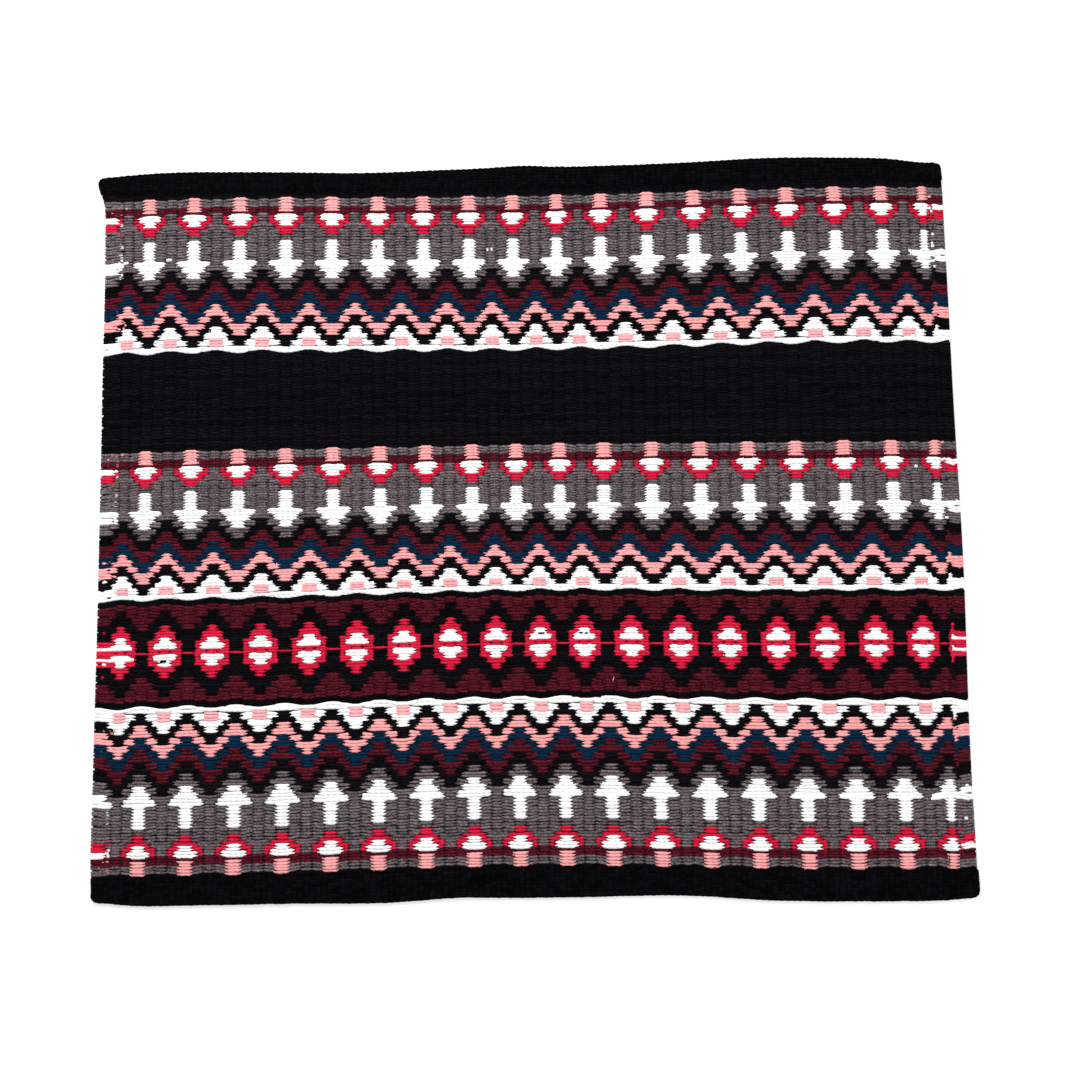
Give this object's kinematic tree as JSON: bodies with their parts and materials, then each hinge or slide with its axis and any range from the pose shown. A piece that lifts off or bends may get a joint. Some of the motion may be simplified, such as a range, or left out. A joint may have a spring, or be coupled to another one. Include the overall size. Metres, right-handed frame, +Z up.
{
  "type": "saddle blanket",
  "caption": "Weft-faced wool saddle blanket with banded cross, zigzag and oval figures, corded selvages, turned ribbed hems and a centre fold.",
  "frame": {"origin": "under the middle of the cloth, on the surface that it lies on", "axes": "+X along the stripes to the right selvage, +Y along the warp to the front hem, +Z up through the patterned face"},
  "size_m": [1.016, 0.864, 0.0085],
  "materials": {
    "wool_black": "matt, fuzzy hand-spun wool weft",
    "wool_charcoal": "matt heathered charcoal wool weft",
    "wool_white": "matt bleached wool weft",
    "wool_salmon": "matt salmon pink wool weft",
    "wool_crimson": "matt crimson wool weft",
    "wool_maroon": "matt maroon wool weft",
    "wool_navy": "matt navy blue wool weft",
    "warp_cotton": "plied natural cotton warp",
    "hem_thread": "waxed black sewing thread"
  },
  "bodies": {
    "left_half": {"header_rows_front_left": "wool_black", "salmon_stripe_front_left": "wool_salmon", "cup_band_front_left": "wool_crimson", "cross_field_front_left": "wool_charcoal", "flame_band_front_left": "wool_navy", "white_line_front_left": "wool_white", "saddle_band_left": "wool_black", "salmon_stripe_middle_left": "wool_salmon", "cup_band_middle_left": "wool_crimson", "cross_field_middle_left": "wool_charcoal", "flame_band_middle_left": "wool_navy", "white_line_middle_left": "wool_white", "black_line_front_left": "wool_black", "oval_band_left": "wool_maroon", "black_line_rear_left": "wool_black", "white_line_rear_left": "wool_white", "flame_band_rear_left": "wool_navy", "cross_field_rear_left": "wool_charcoal", "cup_band_rear_left": "wool_crimson", "salmon_stripe_rear_left": "wool_salmon", "header_rows_rear_left": "wool_black", "warp_ends_left": "warp_cotton", "selvage_cord_left": "wool_black", "front_hem_left": "wool_black", "front_hem_stitches_left": "hem_thread", "rear_hem_left": "wool_black", "rear_hem_stitches_left": "hem_thread"},
    "right_half": {"header_rows_front_right": "wool_black", "salmon_stripe_front_right": "wool_salmon", "cup_band_front_right": "wool_crimson", "cross_field_front_right": "wool_charcoal", "flame_band_front_right": "wool_navy", "white_line_front_right": "wool_white", "saddle_band_right": "wool_black", "salmon_stripe_middle_right": "wool_salmon", "cup_band_middle_right": "wool_crimson", "cross_field_middle_right": "wool_charcoal", "flame_band_middle_right": "wool_navy", "white_line_middle_right": "wool_white", "black_line_front_right": "wool_black", "oval_band_right": "wool_maroon", "black_line_rear_right": "wool_black", "white_line_rear_right": "wool_white", "flame_band_rear_right": "wool_navy", "cross_field_rear_right": "wool_charcoal", "cup_band_rear_right": "wool_crimson", "salmon_stripe_rear_right": "wool_salmon", "header_rows_rear_right": "wool_black", "warp_ends_right": "warp_cotton", "selvage_cord_right": "wool_black", "front_hem_right": "wool_black", "front_hem_stitches_right": "hem_thread", "rear_hem_right": "wool_black", "rear_hem_stitches_right": "hem_thread"}
  },
  "joints": [
    {"name": "centre_fold", "type": "hinge", "parent": "left_half", "child": "right_half", "pos_m": [0, 0, 0.00865], "axis": [0, -1, 0], "range_deg": [0, 180]}
  ]
}
